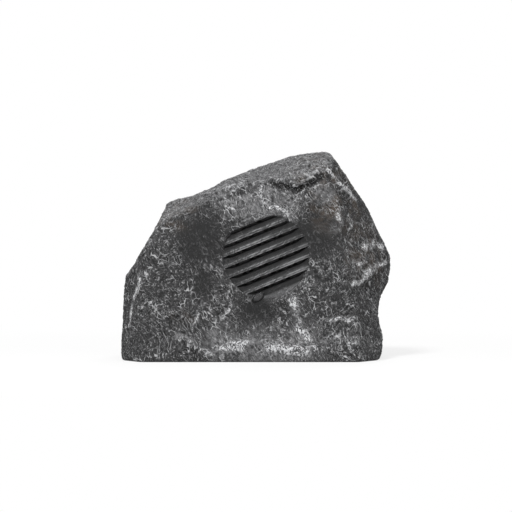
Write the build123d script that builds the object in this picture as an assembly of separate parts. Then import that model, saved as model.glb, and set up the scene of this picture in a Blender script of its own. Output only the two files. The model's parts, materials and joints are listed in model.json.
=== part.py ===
from build123d import *
import os
from math import cos, radians, sin, sqrt

# Rock form: each facet is a flat plane, given by the compass angle of its outward normal (0 right, -90
# front, 90 back), the tilt of that normal above the horizon and the distance from the heart of the rock
heart_height = 110.0
facets = {
    "front": (-90, 14, 84.0),
    "front_left": (-150, 8, 160.0),
    "left": (180, 3, 154.5),
    "left_upper": (179, 29.4, 129.0),
    "top_left": (159, 66, 103.0),
    "top_slope": (-128, 57, 114.2),
    "crown": (-107, 60, 113.0),
    "right_upper": (5, 36, 147.0),
    "right_mid": (2, 26.7, 147.8),
    "right_front": (-32, 16, 127.0),
    "right_lower": (-2, -5.6, 157.6),
    "back": (90, 12, 91.8),
    "back_left": (135, 14, 115.8),
    "back_right": (48, 10, 121.6),
    "back_upper": (95, 48, 91.5),
}
# Hollows knapped out of the rock: the facet, a point near it, the radius of the ball and how deep it bites
hollows = {
    "cove_left": ("front", (42, -60, 196), 40.0, 8.0),
    "cove_right": ("front", (92, -60, 178), 55.0, 12.0),
    "toe_left": ("front", (-84, -100, 46), 120.0, 3.5),
    "toe_middle": ("front", (2, -100, 44), 100.0, 4.0),
    "toe_right": ("front", (92, -100, 54), 100.0, 7.0),
    "knob_undercut": ("right_front", (135, -40, 76), 60.0, 6.0),
    "notch_front": ("right_lower", (150, -22, 57), 75.0, 13.0),
    "notch_back": ("right_lower", (150, 32, 57), 75.0, 13.0),
    "right_brow": ("right_front", (118, -60, 140), 90.0, 4.0),
    "top_chip": ("top_left", (-66, -40, 198), 70.0, 7.0),
    "left_brow_front": ("left_upper", (-129, -42, 143), 250.0, 5.5),
    "left_brow_back": ("left_upper", (-129, 22, 143), 250.0, 5.5),
    "back_dish": ("back", (-50, 100, 130), 160.0, 6.0),
    "back_left_dish": ("back_left", (-110, 70, 90), 120.0, 6.0),
    "back_right_dish": ("back_right", (110, 70, 100), 120.0, 6.0),
    "back_upper_dish": ("back_upper", (30, 50, 190), 120.0, 6.0),
}
# Folds raised on the front: start, middle and end as (across, height), how far it stands out, half its width
folds = {
    "top_band": ((-66, 191), (-24, 201), (18, 215), 3.6, 9.0),
    "cove_lip": ((14, 216), (42, 210), (68, 219), 3.6, 9.0),
    "crest_rim": ((82, 229), (97, 210), (119, 187), 3.4, 9.0),
    "left_band": ((-140, 122), (-138, 98), (-141, 74), 2.8, 8.0),
    "left_toe": ((-98, 30), (-77, 21), (-52, 10), 2.8, 9.0),
    "toe_ledge_left": ((-44, 20), (-8, 21), (24, 17), 3.4, 12.0),
    "toe_ledge_right": ((14, 18), (50, 16), (84, 18), 3.4, 12.0),
    "upright_fold": ((41, 78), (46, 54), (60, 27), 3.8, 11.0),
    "knob_brow": ((154, 113), (132, 102), (106, 89), 3.8, 10.0),
}
fold_crest = 0.35
fold_root = 6.0
fold_sink = 1.0
rock_span = 900.0
edge_round = 10.0
least_round = 1.0
foot_round = 3.0
shell_wall = 5.0

# Blind cuts run this far past what they open, and screws stop this far short of their holes' ends
past = 1.0
clear_through = 60.0
screw_tip_gap = 1.0
screw_head_spread = 2.0
screw_head_rise = 1.35

# Base: a plate let into the underside, drawn up on a gasket against a ledge inside the rim
ground_gap = 3.2
base_thickness = 3.0
base_clearance = 0.5
base_gasket_thickness = 1.5
ledge_thickness = 4.0
ledge_width = 14.0
base_rib_height = 6.0
base_rib_width = 2.5
base_rib_places = (-66.0, 66.0)
base_screw_count = 8
base_screw_radius = 1.9
base_screw_grip = 11.0
base_boss_radius = 5.0
base_boss_cap = 2.0
base_rib_margin = 2.0

# Louvred opening in the front facet
grille_x = 10.7
grille_height = 124.0
grille_radius = 50.0
louvre_angle = 22.5
louvre_pitch = 12.75
louvre_count = 6
louvre_lip = 3.2
louvre_rise = 8.0
louvre_depth = 10.0

# Baffle behind the opening, with an insect screen held in it by a ring
screen_depth = 11.0
screen_thickness = 0.8
screen_land = 2.0
screen_hole = 5.4
screen_hole_pitch = 8.6
baffle_depth = 20.0
baffle_width = 9.5
fit_clearance = 0.25

# Driver: heights are measured from the front of its flange, along its axis
driver_gasket_thickness = 2.0
frame_sheet = 1.4
flange_margin = 0.6
basket_margin = 0.2
basket_lean = 1.4
basket_drop = 8.0
shoulder_reach = 20.0
shoulder_width = 3.5
shoulder_depth = 21.5
frame_depth = 34.2
window_arc = 58.0
window_top = 8.6
window_bottom = 18.6
window_count = 4
driver_screw_count = 4
driver_screw_angle = 45.0
driver_screw_radius = 1.65
driver_screw_grip = 11.0
screw_clearance = 0.35
pilot_clearance = 0.1
surround_margin = 0.3
surround_sheet = 0.6
surround_lip = 3.5
surround_roll = 6.4
surround_height = 3.6
cone_sheet = 0.7
cone_lip = 2.6
cone_depth = 17.6
cap_radius = 17.0
cap_height = 5.5
cap_sheet = 0.5
former_radius = 13.2
former_sheet = 0.3
former_top = 15.6
former_length = 28.0
winding_sheet = 0.8
winding_height = 11.0
glue_gap = 0.05
spider_neck = 1.4
spider_sheet = 0.5
spider_waves = 4
spider_wave_height = 1.0
magnet_gap = 0.6
front_plate_thickness = 5.0
front_plate_radius = 32.0
magnet_radius = 40.0
magnet_bore_margin = 4.0
magnet_thickness = 14.0
yoke_thickness = 5.0
yoke_radius = 32.0
yoke_bevel = 1.5
pole_gap = 0.5

# Tags and wires
tag_strip_size = (24.0, 6.6, 1.6)
tag_size = (4.8, 8.0, 0.8)
tag_spacing = 12.0
tag_setback = 0.75
tinsel_radius = 0.5
tinsel_reach = 12.0
tinsel_sag = 1.0
lead_radius = 1.1
lead_bend = 9.0

# Terminal block between two rails on the base plate
block_size = (27.0, 16.0, 13.0)
block_x = -6.0
block_y = 34.0
block_rail = 1.6
block_bevel = 0.8
block_port_depth = 5.0
block_port_rise = 5.2
block_screw_radius = 2.0
block_screw_length = 5.0
block_screw_set = 1.0
block_slot = 0.9

# Clamping gland for the cable, set in a pocket low in the back
gland_x = -30.0
gland_height = 40.0
gland_pocket_radius = 17.0
gland_pocket_depth = 12.0
gland_thread_radius = 7.8
gland_flats = 9.5
gland_washer_margin = 0.8
gland_washer_thickness = 1.2
gland_flange = 4.0
gland_tail = 2.0
gland_spigot = 6.8
gland_spigot_wall = 1.0
gland_spigot_length = 6.0
gland_seal_step = 1.0
gland_bore = 4.6
seal_bore = 3.5
seal_length = 7.0
nut_flats = 8.8
nut_length = 11.0
nut_round = 3.0
nut_gap = 0.3
nut_corner = 1.1
locknut_thickness = 4.0

# Heights and radii that follow from the sizes above
heart = Vector(0, 0, heart_height)
seat_height = ground_gap + base_thickness + base_gasket_thickness
ledge_top = seat_height + ledge_thickness
screen_pocket_radius = grille_radius + screen_land
baffle_radius = screen_pocket_radius + baffle_width
flange_radius = baffle_radius - flange_margin
basket_radius = grille_radius + basket_margin
driver_bolt_radius = (screen_pocket_radius + flange_radius) / 2
shoulder_radius = former_radius + shoulder_reach
surround_radius = basket_radius - surround_margin
surround_inner = surround_radius - 2 * surround_lip - surround_roll
cone_radius = surround_inner + surround_lip
spider_level = -shoulder_depth + (frame_sheet + spider_sheet) / 2
frame_bottom = -frame_depth - frame_sheet / 2
plate_bottom = frame_bottom - front_plate_thickness
magnet_bottom = plate_bottom - magnet_thickness
winding_radius = former_radius + glue_gap + winding_sheet
front_plate_bore = winding_radius + magnet_gap
tag_y = -(basket_radius + flange_radius) / 2 - tag_setback
seal_bottom = gland_washer_thickness + gland_flange + gland_seal_step
middle = (Align.CENTER, Align.CENTER, Align.MIN)


def facet_normal(name):
    turn = radians(facets[name][0])
    tilt = radians(facets[name][1])
    return Vector(cos(tilt) * cos(turn), cos(tilt) * sin(turn), sin(tilt))


def facet_plane(name, inset=0.0):
    normal = facet_normal(name)
    return Plane(origin=heart + normal * (facets[name][2] - inset), z_dir=normal)


def on_facet(name, x, z):
    normal = facet_normal(name)
    start = facet_plane(name).origin
    y = start.Y - (normal.X * (x - start.X) + normal.Z * (z - start.Z)) / normal.Y
    return Vector(x, y, z)


def front_spot(x, z):
    # Place on the front of the faceted rock, sunk a little below it, and the way the rock faces there
    ahead = [name for name in facets if facet_normal(name).Y < 0]
    facet = max(ahead, key=lambda name: on_facet(name, x, z).Y)
    return on_facet(facet, x, z) - facet_normal(facet) * fold_sink, facet_normal(facet)


def fold(name):
    # A long chip of stone: pointed at both ends, flat-topped at its middle, rooted in the wall
    start, peak, end, rise, half = folds[name]
    head = front_spot(*start)[0]
    tail = front_spot(*end)[0]
    spot, out = front_spot(*peak)
    along = tail - head
    top = rise + fold_sink
    section = Polyline(
        (-half, 0), (-half * fold_crest, top), (half * fold_crest, top), (half, 0), (0, -fold_root), close=True
    )
    middle_cut = Plane(origin=spot, x_dir=out.cross(along), z_dir=along) * make_face(section)
    return loft([Vertex(*head), middle_cut.face(), Vertex(*tail)], ruled=True)


def facet_block(inset, floor):
    block = Pos(0, 0, floor) * Box(rock_span, rock_span, rock_span, align=middle)
    for name in facets:
        block = split(block, bisect_by=facet_plane(name, inset), keep=Keep.BOTTOM)
    return block


def hollow_ball(name, grow):
    facet, point, radius, bite = hollows[name]
    plane = facet_plane(facet)
    spot = plane.to_local_coords(Vector(*point))
    centre = plane.from_local_coords(Vector(spot.X, spot.Y, radius - bite))
    return Pos(*centre) * Sphere(radius + grow)


def rock_form(inset, floor):
    # The same planes and balls moved in by one distance give a wall of even thickness
    rock = facet_block(inset, floor)
    soft_edges = [edge for edge in rock.edges() if edge.center().Z > floor + past]
    rock = fillet(soft_edges, max(edge_round - inset, least_round))
    if inset == 0:
        rock = fillet(rock.faces().sort_by(Axis.Z)[0].outer_wire().edges(), foot_round)
    for name in hollows:
        rock = rock - hollow_ball(name, inset)
    return rock


def plan_prism(inset, low, high):
    # Plan of the rim where it is narrowest between the ground and the ledge, so that the plate drops out
    prisms = []
    for level in (0.0, seat_height):
        plan = facet_block(inset, level).faces().sort_by(Axis.Z)[0]
        solid = extrude(plan, high - low, dir=(0, 0, 1))
        prisms.append(Pos(0, 0, low - solid.bounding_box().min.Z) * solid)
    return prisms[0] & prisms[1]


def ledge_spots():
    # Evenly spaced places along the middle line of the ledge
    plan = facet_block(shell_wall + ledge_width / 2, seat_height).faces().sort_by(Axis.Z)[0]
    line = plan.outer_wire()
    steps = [line.length * (k + 0.5) / base_screw_count for k in range(base_screw_count)]
    return [line.position_at(step, position_mode=PositionMode.LENGTH) for step in steps]


def disc(radius, low, high):
    return Pos(0, 0, low) * Cylinder(radius, high - low, align=middle)


def ring(outer, inner, low, high):
    return disc(outer, low, high) - disc(inner, low - past, high + past)


def hexagon(flats, low, high):
    return extrude(Pos(0, 0, low) * RegularPolygon(flats, 6, major_radius=False), high - low)


def turned(points):
    return revolve(Plane.XZ * make_face(Polyline(*points, close=True)), Axis.Z)


def spun_sheet(line, thickness):
    return revolve(Plane.XZ * trace(line, thickness), Axis.Z)


def at_driver_screws(thing):
    spots = PolarLocations(driver_bolt_radius, driver_screw_count, driver_screw_angle)
    return [spot * thing for spot in spots]


def pan_screw(radius, length):
    # Head below the zero level, shank above it
    top = -radius * screw_head_rise
    head = disc(radius * screw_head_spread, top, 0)
    head = fillet(head.edges().sort_by(Axis.Z)[0], -top / 2)
    slot = Pos(0, 0, top) * Box(radius / 2, radius * screw_head_spread, -top)
    shank = disc(radius, 0, length)
    shank = chamfer(shank.edges().sort_by(Axis.Z)[-1], radius / 2)
    return head - slot - Rot(0, 0, 90) * slot + shank


grille_plane = Plane(
    origin=on_facet("front", grille_x, grille_height), x_dir=(1, 0, 0), z_dir=facet_normal("front")
)
driver_plane = grille_plane.offset(-baffle_depth - driver_gasket_thickness)
gland_mouth = on_facet("back", gland_x, gland_height)
gland_plane = Plane(
    origin=(gland_x, gland_mouth.Y - gland_pocket_depth, gland_height), x_dir=(-1, 0, 0), z_dir=(0, 1, 0)
)


def louvre_blade(low, high):
    # Cross-section leans up and inwards so that rain runs back out
    section = Polyline(
        (low, 0),
        (high, 0),
        (high + louvre_rise, -louvre_depth),
        (low + louvre_rise, -louvre_depth),
        close=True,
    )
    span = 2 * grille_radius + clear_through
    face = Plane(origin=(-span / 2, 0, 0), x_dir=(0, 1, 0), z_dir=(1, 0, 0)) * make_face(section)
    return extrude(face, span, dir=(1, 0, 0))


def louvres():
    # Thin blades across the opening, and a closing piece above the first and below the last gap
    blades = []
    for k in range(louvre_count):
        level = (k - (louvre_count - 1) / 2) * louvre_pitch
        blades.append(louvre_blade(level - louvre_lip / 2, level + louvre_lip / 2))
    last = (louvre_count + 1) / 2 * louvre_pitch - louvre_lip / 2
    beyond = 2 * grille_radius
    blades.append(louvre_blade(last, last + beyond))
    blades.append(louvre_blade(-last - beyond, -last))
    opening = disc(grille_radius + past, -louvre_depth, 0)
    return grille_plane * (Rot(0, 0, louvre_angle) * Part([blade & opening for blade in blades]))


def baffle():
    return grille_plane * disc(baffle_radius, -baffle_depth, 0)


def baffle_cuts():
    back = -baffle_depth - past
    bore = disc(grille_radius, back, clear_through)
    pocket = disc(screen_pocket_radius, back, -screen_depth)
    pilot = disc(driver_screw_radius + pilot_clearance, back, driver_screw_grip - baffle_depth)
    return grille_plane * (bore + pocket + at_driver_screws(pilot))


def gland_pad():
    return gland_plane * disc(gland_pocket_radius + shell_wall, -shell_wall, clear_through)


def gland_cuts():
    pocket = disc(gland_pocket_radius, 0, clear_through)
    return gland_plane * (pocket + disc(gland_thread_radius + fit_clearance, -shell_wall - past, past))


def base_bosses():
    foot = seat_height + ledge_thickness / 2
    boss = disc(base_boss_radius, foot, seat_height + base_screw_grip + base_boss_cap)
    return [Pos(spot.X, spot.Y, 0) * boss for spot in ledge_spots()]


def rock_shell():
    outside = rock_form(0, 0)
    for name in folds:
        outside = outside + fold(name)
    shell = outside - rock_form(shell_wall, ledge_top)
    shell = shell - plan_prism(shell_wall + ledge_width, seat_height - past, ledge_top + past)
    middle_of_wall = rock_form(shell_wall / 2, 0)
    for fixture in [baffle(), gland_pad()] + base_bosses():
        shell = shell + (fixture & middle_of_wall)
    shell = shell - plan_prism(shell_wall, -past, seat_height)
    shell = shell - baffle_cuts() - gland_cuts()
    pilot = disc(base_screw_radius + pilot_clearance, seat_height - past, seat_height + base_screw_grip)
    shell = shell - [Pos(spot.X, spot.Y, 0) * pilot for spot in ledge_spots()]
    return shell + louvres()


def base_holes():
    hole = disc(base_screw_radius + screw_clearance, 0, seat_height + past)
    return [Pos(spot.X, spot.Y, 0) * hole for spot in ledge_spots()]


def base_plate():
    top = ground_gap + base_thickness
    plate = plan_prism(shell_wall + base_clearance, ground_gap, top)
    inner = plan_prism(shell_wall + ledge_width + base_rib_margin, top, top + base_rib_height)
    ribs = [
        Pos(0, y, top) * Box(rock_span, base_rib_width, base_rib_height, align=middle)
        for y in base_rib_places
    ]
    plate = plate + (Part(ribs) & inner)
    rail = Box(block_rail, block_size[1], base_rib_height, align=middle)
    reach = block_size[0] / 2 + fit_clearance + block_rail / 2
    plate = plate + [Pos(block_x + side * reach, block_y, top) * rail for side in (-1, 1)]
    return plate - base_holes()


def base_gasket():
    top = ground_gap + base_thickness
    seal = plan_prism(shell_wall + base_clearance, top, seat_height)
    return seal - plan_prism(shell_wall + ledge_width, top - past, seat_height + past) - base_holes()


def base_screws():
    length = base_thickness + base_gasket_thickness + base_screw_grip - screw_tip_gap
    screw = pan_screw(base_screw_radius, length)
    return Part([Pos(spot.X, spot.Y, ground_gap) * screw for spot in ledge_spots()])


def insect_screen():
    sheet = disc(screen_pocket_radius - fit_clearance, -screen_depth - screen_thickness, -screen_depth)
    reach = grille_radius - screen_hole
    count = int(2 * reach / screen_hole_pitch) + 1
    spots = [
        spot
        for spot in GridLocations(screen_hole_pitch, screen_hole_pitch, count, count)
        if spot.position.length < reach
    ]
    hole = Pos(0, 0, -screen_depth) * Box(screen_hole, screen_hole, 4 * screen_thickness)
    return grille_plane * (sheet - [spot * hole for spot in spots])


def screen_retainer():
    top = -screen_depth - screen_thickness
    return grille_plane * ring(screen_pocket_radius - fit_clearance, grille_radius, -baffle_depth, top)


def driver_screw_holes():
    reach = frame_sheet + driver_gasket_thickness + past
    return at_driver_screws(disc(driver_screw_radius + screw_clearance, -reach, reach))


def driver_gasket():
    seal = ring(flange_radius, basket_radius, 0, driver_gasket_thickness)
    return driver_plane * (seal - driver_screw_holes())


def driver_frame():
    # One pressed sheet: flange, sloping basket, step for the suspension and a floor for the magnet
    line = Polyline(
        (flange_radius, -frame_sheet / 2),
        (basket_radius, -frame_sheet / 2),
        (basket_radius - basket_lean, -basket_drop),
        (shoulder_radius, -shoulder_depth),
        (shoulder_radius - shoulder_width, -shoulder_depth),
        (shoulder_radius - shoulder_width - basket_lean, -frame_depth),
        (front_plate_bore + frame_sheet, -frame_depth),
    )
    frame = spun_sheet(line, frame_sheet)
    side = make_face(
        Polyline(
            (shoulder_radius + frame_sheet, -window_bottom),
            (flange_radius, -window_bottom),
            (flange_radius, -window_top),
            (shoulder_radius + frame_sheet, -window_top),
            close=True,
        )
    )
    window = revolve(Plane.XZ * side, Axis.Z, window_arc)
    turns = [360 / window_count * k - window_arc / 2 for k in range(window_count)]
    frame = frame - [Rot(0, 0, turn) * window for turn in turns]
    return driver_plane * (frame - driver_screw_holes())


def driver_screws():
    length = frame_sheet + driver_gasket_thickness + driver_screw_grip - screw_tip_gap
    screw = Pos(0, 0, -frame_sheet) * pan_screw(driver_screw_radius, length)
    return driver_plane * Part(at_driver_screws(screw))


def surround():
    level = surround_sheet / 2
    inner = surround_inner + surround_lip
    outer = surround_radius - surround_lip
    line = (
        Line((surround_inner, level), (inner, level))
        + ThreePointArc((inner, level), ((inner + outer) / 2, level + surround_height), (outer, level))
        + Line((outer, level), (surround_radius, level))
    )
    return driver_plane * spun_sheet(line, surround_sheet)


def cone_line():
    return (cone_radius - cone_lip, -cone_sheet / 2), (former_radius, -cone_depth)


def cone_height(radius):
    # Middle of the sloping sheet at a radius, and how far its faces lie above and below that
    (r1, z1), (r0, z0) = cone_line()
    slope = (z1 - z0) / (r1 - r0)
    return z0 + (radius - r0) * slope, cone_sheet / 2 * sqrt(1 + slope**2), slope


def cone():
    top, _ = cone_line()
    neck = former_radius - 2 * cone_sheet
    foot = (neck, cone_height(neck)[0])
    sheet = spun_sheet(Polyline((cone_radius, -cone_sheet / 2), top, foot), cone_sheet)
    return driver_plane * (sheet - disc(former_radius + glue_gap, -clear_through, clear_through))


def dust_cap():
    # A thin dome whose rim rests on the sloping cone
    level, half, _ = cone_height(cap_radius + 2 * cap_sheet)
    base = level + half + glue_gap
    bulge = (cap_radius**2 + cap_height**2) / (2 * cap_height)
    dome = Pos(0, 0, base + cap_height - bulge) * (Sphere(bulge + cap_sheet) - Sphere(bulge))
    return driver_plane * (dome & disc(cap_radius + 2 * cap_sheet, base, base + 2 * cap_height))


def voice_coil_former():
    return driver_plane * ring(
        former_radius, former_radius - former_sheet, -former_top - former_length, -former_top
    )


def voice_coil_winding():
    centre = (frame_bottom + plate_bottom) / 2
    return driver_plane * ring(
        winding_radius, former_radius + glue_gap, centre - winding_height / 2, centre + winding_height / 2
    )


def spider():
    inner = former_radius + glue_gap + spider_neck
    outer = shoulder_radius - shoulder_width - frame_sheet
    wave = (outer - inner) / spider_waves
    line = Line((former_radius + glue_gap, spider_level), (inner, spider_level))
    for k in range(spider_waves):
        start = inner + k * wave
        crest = spider_level + spider_wave_height * (1 if k % 2 == 0 else -1)
        line = line + ThreePointArc(
            (start, spider_level), (start + wave / 2, crest), (start + wave, spider_level)
        )
    line = line + Line((outer, spider_level), (shoulder_radius - frame_sheet, spider_level))
    return driver_plane * spun_sheet(line, spider_sheet)


def front_plate():
    return driver_plane * ring(front_plate_radius, front_plate_bore, plate_bottom, frame_bottom)


def magnet():
    return driver_plane * ring(
        magnet_radius, front_plate_bore + magnet_bore_margin, magnet_bottom, plate_bottom
    )


def yoke():
    pole = former_radius - former_sheet - pole_gap
    return driver_plane * turned(
        [
            (0, frame_bottom),
            (pole, frame_bottom),
            (pole, magnet_bottom),
            (yoke_radius, magnet_bottom),
            (yoke_radius, magnet_bottom - yoke_thickness + yoke_bevel),
            (yoke_radius - yoke_bevel, magnet_bottom - yoke_thickness),
            (0, magnet_bottom - yoke_thickness),
        ]
    )


def tag_strip():
    width, depth, height = tag_strip_size
    return driver_plane * (Pos(0, tag_y, -frame_sheet - height) * Box(width, depth, height, align=middle))


def tag_face():
    return -frame_sheet - tag_strip_size[2]


def solder_tags():
    # Each tag lies flat on the strip and turns back at a right angle to take the lead
    width, length, sheet = tag_size
    level = tag_face()
    tags = []
    for side in (-1, 1):
        foot = Pos(0, 0, level - sheet) * Box(width, tag_strip_size[1], sheet, align=middle)
        blade = Pos(0, 0, level - length) * Box(width, sheet, length, align=middle)
        tags.append(Pos(side * tag_spacing / 2, tag_y, 0) * (foot + blade))
    return driver_plane * Part(tags)


def tinsel_leads():
    # Loose loops from the tags, through the basket window, to the back of the cone
    start_z = tag_face() - tag_size[2] - glue_gap
    start_y = tag_y + tag_strip_size[1] / 2 - 2 * tinsel_radius
    leads = []
    for side in (-1, 1):
        x = side * tag_spacing / 2
        end_y = -(former_radius + tinsel_reach)
        level, half, slope = cone_height(sqrt(x**2 + end_y**2))
        end_z = level - half - tinsel_radius * slope - glue_gap
        low_z = -(window_top + window_bottom) / 2 - tinsel_sag
        path = Spline(
            (x, start_y, start_z),
            (x, -(basket_radius + shoulder_radius) / 2, low_z),
            (x, end_y, end_z),
            tangents=[(0, 0, -1), (0, 0.3, 1)],
        )
        leads.append(sweep(Plane(origin=path @ 0, z_dir=path % 0) * Circle(tinsel_radius), path=path))
    return driver_plane * Part(leads)


def lead(side):
    # From the back of a solder tag, down behind the basket, and into the front of the terminal block
    x = side * tag_spacing / 2
    start = driver_plane.from_local_coords(Vector(x, tag_y, tag_face() - tag_size[1]))
    turn = driver_plane.from_local_coords(Vector(x, tag_y, tag_face() - tag_size[1] - 2 * lead_bend))
    port_x = block_x + side * block_size[0] / 4
    port_y = block_y - block_size[1] / 2 + block_port_depth
    low = port_height()
    path = FilletPolyline(
        start, turn, (port_x, turn.Y, low), (port_x, port_y, low), radius=lead_bend
    )
    return sweep(Plane(origin=path @ 0, z_dir=path % 0) * Circle(lead_radius), path=path)


def lead_positive():
    return lead(1)


def lead_negative():
    return lead(-1)


def port_height():
    return ground_gap + base_thickness + block_port_rise


def terminal_block():
    width, depth, height = block_size
    floor = ground_gap + base_thickness
    block = Pos(block_x, block_y, floor) * Box(width, depth, height, align=middle)
    block = chamfer(block.edges().group_by(Axis.Z)[-1], block_bevel)
    port = Rot(90, 0, 0) * Cylinder(lead_radius + fit_clearance, block_port_depth, align=middle)
    well_floor = floor + height - block_screw_length - block_screw_set
    well = disc(block_screw_radius + fit_clearance, well_floor, floor + height + past)
    for side in (-1, 1):
        x = block_x + side * width / 4
        front = Pos(x, block_y - depth / 2 + block_port_depth, port_height()) * port
        back = Pos(x, block_y + depth / 2, port_height()) * port
        block = block - front - back - Pos(x, block_y, 0) * well
    return block


def terminal_screws():
    top = ground_gap + base_thickness + block_size[2] - block_screw_set
    slot = Pos(0, 0, top) * Box(4 * block_screw_radius, block_slot, 2 * block_slot)
    screw = disc(block_screw_radius, top - block_screw_length, top) - slot
    return Part([Pos(block_x + side * block_size[0] / 4, block_y, 0) * screw for side in (-1, 1)])


def gland_body():
    washer_top = gland_washer_thickness
    flange_top = washer_top + gland_flange
    tail = -shell_wall - locknut_thickness - gland_tail
    body = disc(gland_thread_radius, tail, washer_top) + hexagon(gland_flats, washer_top, flange_top)
    body = body + disc(gland_spigot, washer_top, flange_top + gland_spigot_length)
    body = body - disc(gland_bore, tail - past, clear_through)
    return gland_plane * (body - disc(gland_spigot - gland_spigot_wall, seal_bottom, clear_through))


def gland_washer():
    outer = gland_flats + gland_washer_margin
    return gland_plane * ring(outer, gland_thread_radius + fit_clearance, 0, gland_washer_thickness)


def gland_seal():
    outer = gland_spigot - gland_spigot_wall - fit_clearance
    return gland_plane * ring(outer, seal_bore, seal_bottom, seal_bottom + seal_length)


def gland_nut():
    low = gland_washer_thickness + gland_flange + nut_gap
    high = low + nut_length
    dome = disc(nut_flats * nut_corner, low, high)
    dome = fillet(dome.edges().sort_by(Axis.Z)[-1], nut_round)
    nut = hexagon(nut_flats, low, high) & dome
    nut = nut - disc(gland_spigot + fit_clearance, low - past, seal_bottom + seal_length)
    return gland_plane * (nut - disc(gland_bore, low, high + past))


def gland_locknut():
    low = -shell_wall - locknut_thickness
    nut = hexagon(gland_flats, low, -shell_wall)
    return gland_plane * (nut - disc(gland_thread_radius + fit_clearance, low - past, 0))


pieces = [
    rock_shell,
    base_plate,
    base_gasket,
    base_screws,
    insect_screen,
    screen_retainer,
    driver_gasket,
    driver_frame,
    driver_screws,
    surround,
    cone,
    dust_cap,
    voice_coil_former,
    voice_coil_winding,
    spider,
    front_plate,
    magnet,
    yoke,
    tag_strip,
    solder_tags,
    tinsel_leads,
    lead_positive,
    lead_negative,
    terminal_block,
    terminal_screws,
    gland_body,
    gland_washer,
    gland_seal,
    gland_nut,
    gland_locknut,
]

os.makedirs("parts", exist_ok=True)
built = {piece.__name__: piece() for piece in pieces}

# The origin is the middle of the rock's footprint box, at ground level
box = built["rock_shell"].bounding_box()
shift = Pos(-(box.min.X + box.max.X) / 2, -(box.min.Y + box.max.Y) / 2, 0)
for name, solid in built.items():
    export_step(shift * solid, f"parts/{name}.step")
    print(name, len(solid.solids()), round(solid.volume / 1000, 2), "cm3")
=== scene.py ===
import json
import math
import bmesh
import bpy
from mathutils import Matrix, Vector
from mathutils.bvhtree import BVHTree
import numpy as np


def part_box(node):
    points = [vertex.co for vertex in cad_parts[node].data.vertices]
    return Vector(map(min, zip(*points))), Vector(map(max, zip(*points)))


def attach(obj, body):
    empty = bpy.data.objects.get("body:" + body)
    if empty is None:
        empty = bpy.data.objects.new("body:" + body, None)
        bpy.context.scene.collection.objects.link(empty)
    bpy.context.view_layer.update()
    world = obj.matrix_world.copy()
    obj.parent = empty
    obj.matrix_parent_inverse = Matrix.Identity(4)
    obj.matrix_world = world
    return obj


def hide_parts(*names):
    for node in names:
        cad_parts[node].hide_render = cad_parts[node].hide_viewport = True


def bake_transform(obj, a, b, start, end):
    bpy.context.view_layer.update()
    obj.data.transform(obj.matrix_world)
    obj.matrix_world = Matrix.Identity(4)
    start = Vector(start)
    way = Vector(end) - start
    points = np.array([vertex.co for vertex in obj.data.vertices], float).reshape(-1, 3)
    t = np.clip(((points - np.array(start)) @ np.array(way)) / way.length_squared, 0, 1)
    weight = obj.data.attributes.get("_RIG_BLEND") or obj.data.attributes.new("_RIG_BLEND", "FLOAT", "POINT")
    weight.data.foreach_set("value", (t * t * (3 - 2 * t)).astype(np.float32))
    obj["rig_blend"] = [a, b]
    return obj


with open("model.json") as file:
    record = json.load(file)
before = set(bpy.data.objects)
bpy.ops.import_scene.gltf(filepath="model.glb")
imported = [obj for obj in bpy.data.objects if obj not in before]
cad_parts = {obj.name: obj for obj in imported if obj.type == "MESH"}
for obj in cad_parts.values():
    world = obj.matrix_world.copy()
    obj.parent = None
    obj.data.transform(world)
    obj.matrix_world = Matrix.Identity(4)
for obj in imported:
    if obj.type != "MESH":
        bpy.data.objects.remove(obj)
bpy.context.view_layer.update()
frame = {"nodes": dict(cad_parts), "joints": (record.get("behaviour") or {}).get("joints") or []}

scene = bpy.context.scene
nodes = frame["nodes"]
mm = 0.001
print("frame loaded", len(nodes), "nodes")


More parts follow.
